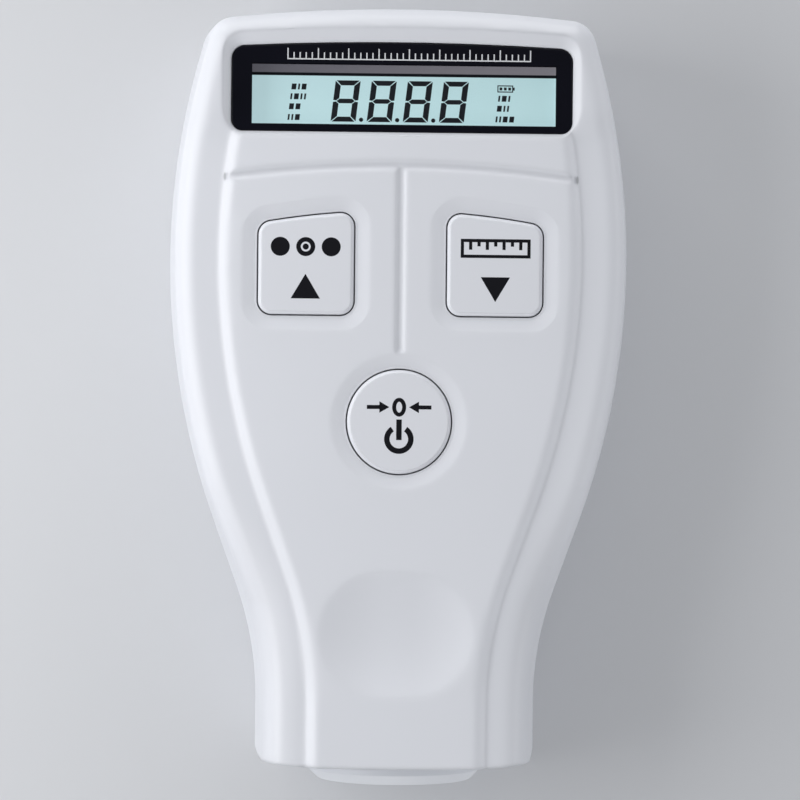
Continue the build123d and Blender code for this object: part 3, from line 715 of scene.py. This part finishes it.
def bar(x, y, width, height, z):
    """Flat bar about a middle point."""
    bpy.ops.mesh.primitive_plane_add(size=MM, location=(x * MM, y * MM, z * MM))
    obj = bpy.context.object
    obj.scale = (width, height, 1)
    return raised(settle(obj))


def cut_plate(corners, z):
    """Flat plate of any outline: a filled disc with its corners moved into place."""
    bpy.ops.mesh.primitive_circle_add(vertices=len(corners), fill_type="NGON")
    obj = bpy.context.object
    for vertex, (x, y) in zip(obj.data.vertices, corners):
        vertex.co = (x * MM, y * MM, z * MM)
    return raised(obj)


def dot(x, y, radius, z, corners=24):
    """Flat round dot."""
    bpy.ops.mesh.primitive_circle_add(
        vertices=corners, radius=radius * MM, fill_type="NGON", location=(x * MM, y * MM, z * MM)
    )
    return raised(settle(bpy.context.object))


def ring(x, y, radius, stroke, z, wide=1.0, gap=0.0):
    """Flat ring of a middle radius. It is open over an angle of gap on each side of its top."""
    outer = radius + stroke / 2
    bpy.ops.mesh.primitive_circle_add(
        vertices=96, radius=outer * MM, fill_type="NGON", location=(x * MM, y * MM, z * MM)
    )
    obj = bpy.context.object
    obj.scale = (wide, 1, 1)
    settle(obj)
    edit(obj)
    bpy.ops.mesh.inset(thickness=stroke * MM)
    bpy.ops.mesh.delete(type="FACE")
    bpy.ops.object.mode_set(mode="OBJECT")
    for face in obj.data.polygons:
        offset = face.center - Vector((x, y, z)) * MM
        face.select = abs(offset.angle(Vector((0, 1, 0)))) < gap
    if gap:
        bpy.ops.object.mode_set(mode="EDIT")
        bpy.ops.mesh.delete(type="FACE")
        bpy.ops.object.mode_set(mode="OBJECT")
    return raised(obj)


def arrowhead(x, y, width, height, z, turn=0.0):
    """Solid triangle that points up, or as turned."""
    points = []
    for across, along in ((-width / 2, -height / 2), (width / 2, -height / 2), (0, height / 2)):
        points.append((
            x + across * cos(turn) - along * sin(turn), y + across * sin(turn) + along * cos(turn)
        ))
    return cut_plate(points, z)


def camera():
    """The photograph's camera, above the object and a little to the left of it."""
    data = bpy.data.cameras.new("camera")
    data.sensor_width = SENSOR_WIDTH
    aim = Vector(AIM) * MM
    place = Vector((CAMERA_X, AIM[1], CAMERA_HEIGHT)) * MM
    focal_pixels = PHOTO_PIXELS_PER_MM * (CAMERA_HEIGHT - AIM[2])
    data.lens = focal_pixels / IMAGE_PIXELS * SENSOR_WIDTH
    data.clip_start, data.clip_end = 0.01, 20
    eye = bpy.data.objects.new("camera", data)
    bpy.context.scene.collection.objects.link(eye)
    back = (place - aim).normalized()
    right = Vector((0, 1, 0)).cross(back).normalized()
    look = Matrix((right, back.cross(right), back)).transposed().to_4x4()
    eye.matrix_world = Matrix.Translation(place) @ look @ Matrix.Rotation(radians(CAMERA_ROLL), 4, "Z")
    bpy.context.scene.camera = eye


def softbox(name, place, size, power):
    """A soft lamp that faces the object. Place and size are in metres, and power is in watts."""
    data = bpy.data.lights.new(name, "AREA")
    data.shape = "RECTANGLE"
    data.size, data.size_y = size
    data.energy = power
    obj = bpy.data.objects.new(name, data)
    bpy.context.scene.collection.objects.link(obj)
    obj.location = place
    obj.rotation_mode = "QUATERNION"
    obj.rotation_quaternion = (Vector(LAMP_AIM) - Vector(place)).to_track_quat("-Z", "Y")


def tent():
    """Soft light from all round, brighter at the sides than overhead."""
    world = bpy.data.worlds.new("tent")
    bpy.context.scene.world = world
    world.use_nodes = True
    sky = Nodes(world.node_tree)
    _, _, height = sky.split(sky.node("TexCoord"))
    strength = TENT_SIDES - TENT_DROP * height.larger(0.0) ** 4.0
    light = sky.node("Background", sockets={"Color": (0.955, 0.97, 1.0, 1), "Strength": strength})
    sky.node("OutputWorld", sockets={"Surface": light})


def studio():
    """Key light at the left, a large one beyond the display end, two weak fills, and the tent."""
    softbox("left_softbox", (-0.225, 0.01, 0.16), (0.22, 0.22), 0.42)
    softbox("far_softbox", (-0.10, 0.80, 0.30), (1.0, 0.5), 3.2)
    softbox("right_fill", (0.60, 0.0, 0.07), (0.5, 0.2), 0.55)
    softbox("near_fill", (0.05, -0.60, 0.16), (0.5, 0.3), 0.75)
    tent()


def floor():
    """Large plain ground, just under the object."""
    bpy.ops.mesh.primitive_plane_add(size=6.0, location=(0, 0, -0.00002))
    ground = bpy.context.object
    ground.name = "floor"
    dress(ground, floor_card())


def leaned(x, y):
    """A point leaned over to the right as the display's figures are."""
    return x + (y - DIGIT_LOW_Y) * tan(radians(DIGIT_SLANT)), y


def stroke_outlines():
    """Outlines of the seven strokes of a figure whose lower left corner is at 0, with mitred ends."""
    wide, high, gap = DIGIT_WIDTH, DIGIT_HEIGHT, SEGMENT_GAP / 2
    side, level, half = UPRIGHT_WIDTH, LEVEL_WIDTH, MIDDLE_WIDTH / 2
    middle = high / 2
    near, far = side + gap, wide - side - gap
    bottom = [(2 * gap, 0), (wide - 2 * gap, 0), (far, level), (near, level)]
    left = [(0, gap), (side, level + gap), (side, middle - half - gap), (side / 2, middle - gap),
            (0, middle - 2 * gap)]
    bridge = [(side / 2 + gap, middle), (near, middle - half), (far, middle - half),
              (wide - side / 2 - gap, middle), (far, middle + half), (near, middle + half)]
    right = [(wide - x, y) for x, y in left]
    upper = [[(x, high - y) for x, y in outline] for outline in (bottom, left, right)]
    return [bottom, left, bridge, right, *upper]


def digits(material):
    """Four figures 8 with a point after each but the last, all strokes lit."""
    pieces = []
    for index in range(DIGIT_COUNT):
        left = DIGIT_FIRST_X + index * DIGIT_PITCH
        for outline in stroke_outlines():
            corners = [leaned(left + x, DIGIT_LOW_Y + y) for x, y in outline]
            pieces.append(cut_plate(corners, GLASS_TOP_Z))
        if index < DIGIT_COUNT - 1:
            x = left + (DIGIT_WIDTH + DIGIT_PITCH) / 2
            pieces.append(dot(x, DIGIT_LOW_Y + POINT_RADIUS, POINT_RADIUS, GLASS_TOP_Z))
    return joined("display_digits", pieces, "housing", material)


def sign_cell(x, y, width, z):
    """One small leaning block of a sign."""
    low, high = y - SIGN_HEIGHT / 2, y + SIGN_HEIGHT / 2
    lean = SIGN_HEIGHT * tan(radians(DIGIT_SLANT))
    return cut_plate([(x, low), (x + width, low), (x + width + lean, high), (x + lean, high)], z)


def display_signs(material):
    """Four rows of small generic signs at each side of the figures, with a battery sign at top right."""
    pieces = []
    thin, thick, space = 0.24, 0.62, 0.24
    patterns = {
        SIGN_LEFT_X: ((thick, thin, thick), (thin, thick, thin, thin), (thick, thick), (thin, thin, thick)),
        SIGN_RIGHT_X: (None, (thin, thick, thin), (thick, thin, thin), (thin, thin, thick, thick)),
    }
    for start, rows in patterns.items():
        for row_y, pattern in zip(SIGN_ROWS, rows):
            x = start + (row_y - DIGIT_LOW_Y) * tan(radians(DIGIT_SLANT))
            for width in pattern or ():
                pieces.append(sign_cell(x, row_y, width, GLASS_TOP_Z))
                x += width + space
    x, y = SIGN_RIGHT_X + 1.35, SIGN_ROWS[0]
    wide, high, line, charge, charge_pitch = 2.1, 0.95, 0.14, 0.36, 0.58
    for side in (-1, 1):
        pieces.append(bar(x, y + side * (high - line) / 2, wide, line, GLASS_TOP_Z))
        pieces.append(bar(x + side * (wide - line) / 2, y, line, high - 2 * line, GLASS_TOP_Z))
    for step in (-1, 0, 1):
        pieces.append(bar(x + step * charge_pitch, y, charge, high - 4 * line, GLASS_TOP_Z))
    pieces.append(bar(x + wide / 2 + 0.1, y, 0.2, 0.4, GLASS_TOP_Z))
    return joined("display_signs", pieces, "housing", material)


def window_scale(material):
    """Fine white scale across the window's print, each fifth tick longer."""
    count = round(SCALE_HALF_WIDTH / SCALE_PITCH)
    line = bar(SCALE_MIDDLE_X, SCALE_LOW_Y, 2 * SCALE_HALF_WIDTH + SCALE_LINE, SCALE_LINE, WINDOW_TOP_Z)
    pieces = [line]
    for index in range(-count, count + 1):
        tall = SCALE_SHORT_TICK if index % LONG_TICK_EVERY else SCALE_LONG_TICK
        x = SCALE_MIDDLE_X + index * SCALE_PITCH
        y = SCALE_LOW_Y + SCALE_LINE / 2 + tall / 2
        pieces.append(bar(x, y, SCALE_LINE, tall, WINDOW_TOP_Z))
    return joined("window_scale", pieces, "housing", material)


def mode_marks(material):
    """Row of a filled dot, a ring and a filled dot, over an arrowhead that points up."""
    x, z = -KEY_MARK_X, PANEL_Z
    radius = ICON_HEIGHT / 2
    step = ICON_HALF_WIDTH - radius
    stroke, heart = 0.6, 0.4
    pieces = [
        dot(x - step, ICON_Y, radius, z, corners=48), dot(x + step, ICON_Y, radius, z, corners=48),
        ring(x, ICON_Y, radius - stroke / 2, stroke, z), dot(x, ICON_Y, heart, z),
    ]
    pieces.append(arrowhead(x, ARROW_Y, ARROW_WIDTH, ARROW_HEIGHT, z))
    return joined("mode_key_marks", pieces, "mode_key", material)


def unit_marks(material):
    """Small ruler over an arrowhead that points down."""
    x, z, line, pitch = KEY_MARK_X, PANEL_Z, 0.42, 1.1
    long_tick, short_tick = 1.0, 0.55
    low, high = ICON_Y - ICON_HEIGHT / 2, ICON_Y + ICON_HEIGHT / 2
    pieces = []
    for y in (low + line / 2, high - line / 2):
        pieces.append(bar(x, y, 2 * ICON_HALF_WIDTH, line, z))
    for side in (-1, 1):
        pieces.append(bar(x + side * (ICON_HALF_WIDTH - line / 2), ICON_Y, line, ICON_HEIGHT - 2 * line, z))
    for index in range(-3, 4):
        tall = long_tick if index % 2 else short_tick
        pieces.append(bar(x + index * pitch, high - line - tall / 2, line, tall, z))
    pieces.append(arrowhead(x, ARROW_Y - 0.2, ARROW_WIDTH, ARROW_HEIGHT, z, pi))
    return joined("unit_key_marks", pieces, "unit_key", material)


def zero_marks(material):
    """Figure 0 between two inward arrows, over the sign for on and off."""
    z, line = PANEL_Z, 0.52
    head_x, head_width, head_length = 1.95, 1.5, 1.3
    tail_x, tail_length = 3.4, 1.7
    pieces = [ring(0, ZERO_Y, ZERO_RADIUS, line, z, wide=ZERO_NARROWING)]
    for side in (-1, 1):
        pieces.append(arrowhead(side * head_x, ZERO_Y, head_width, head_length, z, side * pi / 2))
        pieces.append(bar(side * tail_x, ZERO_Y, tail_length, line, z))
    pieces.append(ring(0, POWER_Y, POWER_RADIUS, POWER_STROKE, z, gap=radians(POWER_GAP)))
    pieces.append(bar(0, POWER_Y + POWER_RADIUS - POWER_STEM_DROP, POWER_STROKE, POWER_STEM, z))
    return joined("zero_key_marks", pieces, "zero_key", material)


def cover_pieces():
    """White mouldings that are seen from outside."""
    back = moulded_plastic("housing_plastic_back", 0.38, 0.15)
    keys = moulded_plastic("key_plastic", 0.32, 0.3)
    shell_for("front_cover", front_plastic())
    for node in ("rear_cover", "battery_door"):
        shell_for(node, back)
    for node in KEY_NODES:
        shell_for(node, keys)
    shell_for("probe_foot", turned_plastic())


def display_pieces():
    """Window, display and what holds and lights it."""
    dress(nodes["display_window"], window_plate())
    dress(nodes["lcd_glass"], display_cell())
    dress(nodes["lcd_holder"], matte_mould("holder_plastic", (0.10, 0.10, 0.11)))
    dress(nodes["backlight_panel"], matte_mould("light_panel", (0.82, 0.84, 0.85), 0.5))
    dress(nodes["zebra_strip"], layered_rubber())


def probe_pieces():
    """The measuring unit in the foot, with its guide and lead."""
    shell_for("probe_sleeve", turned_steel())
    shell_for("probe_core", metal("core_ferrite", (0.22, 0.22, 0.23), 0.22, (1, 0.1, 1)))
    shell_for("probe_coil", wound_copper())
    inner = matte_mould("inner_plastic", (0.045, 0.045, 0.050), 0.5)
    for node in ("probe_bobbin", "probe_cap", "guide_cap"):
        shell_for(node, inner)
    dress(nodes["lead_connector"], inner)
    dress(nodes["probe_lead"], ribbon_sheath())


def probe_spring(material):
    """The probe's spring, a smooth copy of its solid at rest, fixed in place."""
    spring = smooth_shell("probe_spring")
    dress(spring, material)
    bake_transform(spring)
    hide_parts("probe_spring")


def power_pieces():
    """Cells, their contacts, and the probe's spring, which is of the same steel."""
    shell_for("left_cell", cell_can("left_cell", True))
    shell_for("right_cell", cell_can("right_cell", False))
    sprung = metal("contact_steel", (0.66, 0.65, 0.63), 0.28, (1, 1, 0.15), 0.3)
    for node in ("bridge_contact", "negative_contact", "positive_contact"):
        shell_for(node, sprung)
    probe_spring(sprung)


def board_pieces():
    """Board, chip and the switches under the keys."""
    dress(nodes["main_board"], board_laminate())
    dress(nodes["controller_chip"], matte_mould("chip_resin", (0.020, 0.020, 0.022), 0.5))
    switch = matte_mould("switch_plastic", (0.030, 0.030, 0.033), 0.45)
    for name in ("mode", "unit", "zero"):
        dress(nodes[name + "_switch"], switch)
        dress(nodes[name + "_plunger"], switch)


def cross_cutter(x, y, z, width, stroke, depth):
    """Cross-shaped punch, narrower at its tip, that points up into a screw's head."""
    arms = []
    for turn in (0, pi / 2):
        bpy.ops.mesh.primitive_cube_add(size=MM, location=(x * MM, y * MM, z * MM), rotation=(0, 0, turn))
        arm = bpy.context.object
        arm.scale = (width, stroke, 2 * depth)
        settle(arm)
        edit(arm)
        bpy.ops.mesh.select_all(action="DESELECT")
        bpy.ops.object.mode_set(mode="OBJECT")
        for vertex in arm.data.vertices:
            vertex.select = vertex.co.z > z * MM
        bpy.ops.object.mode_set(mode="EDIT")
        bpy.ops.transform.resize(value=(CROSS_TIP, CROSS_TIP, 1), center_override=(x * MM, y * MM, z * MM))
        bpy.ops.object.mode_set(mode="OBJECT")
        arms.append(arm)
    return arms


def crossed(shell, places, z, cross):
    """Cuts a cross recess into the underside of each head."""
    for x, y in places:
        for cutter in cross_cutter(x, y, z, *cross):
            only(shell)
            cut = shell.modifiers.new("recess", "BOOLEAN")
            cut.operation = "DIFFERENCE"
            cut.object = cutter
            bpy.ops.object.modifier_apply(modifier=cut.name)
            bpy.data.objects.remove(cutter)
    bpy.ops.object.shade_smooth_by_angle(angle=radians(SCREW_ANGLE))


def screw_pieces():
    """Housing and board screws, with cross recesses in their heads."""
    steel = metal("screw_steel", (0.52, 0.53, 0.55), 0.26)
    housing_screws = shell_for("housing_screws", steel)
    crossed(housing_screws, HOUSING_SCREWS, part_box("housing_screws")[0].z / MM, HOUSING_CROSS)
    board_screws = shell_for("board_screws", steel)
    low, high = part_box("board_screws")
    reach = (high.x - low.x) / 2 / MM - BOARD_SCREW_HEAD_RADIUS
    y = (low.y + high.y) / 2 / MM
    crossed(board_screws, ((-reach, y), (reach, y)), low.z / MM, BOARD_CROSS)


camera()
studio()
floor()
cover_pieces()
display_pieces()
probe_pieces()
power_pieces()
board_pieces()
screw_pieces()
display_ink = ink("display_ink", (0.006, 0.009, 0.015), 0.45)
key_ink = ink("key_ink", (0.004, 0.004, 0.007), 0.5, 0.2)
digits(display_ink)
display_signs(display_ink)
window_scale(ink("window_ink", (0.72, 0.73, 0.75), 0.45))
mode_marks(key_ink)
unit_marks(key_ink)
zero_marks(key_ink)

bpy.context.scene.view_settings.view_transform = "Standard"
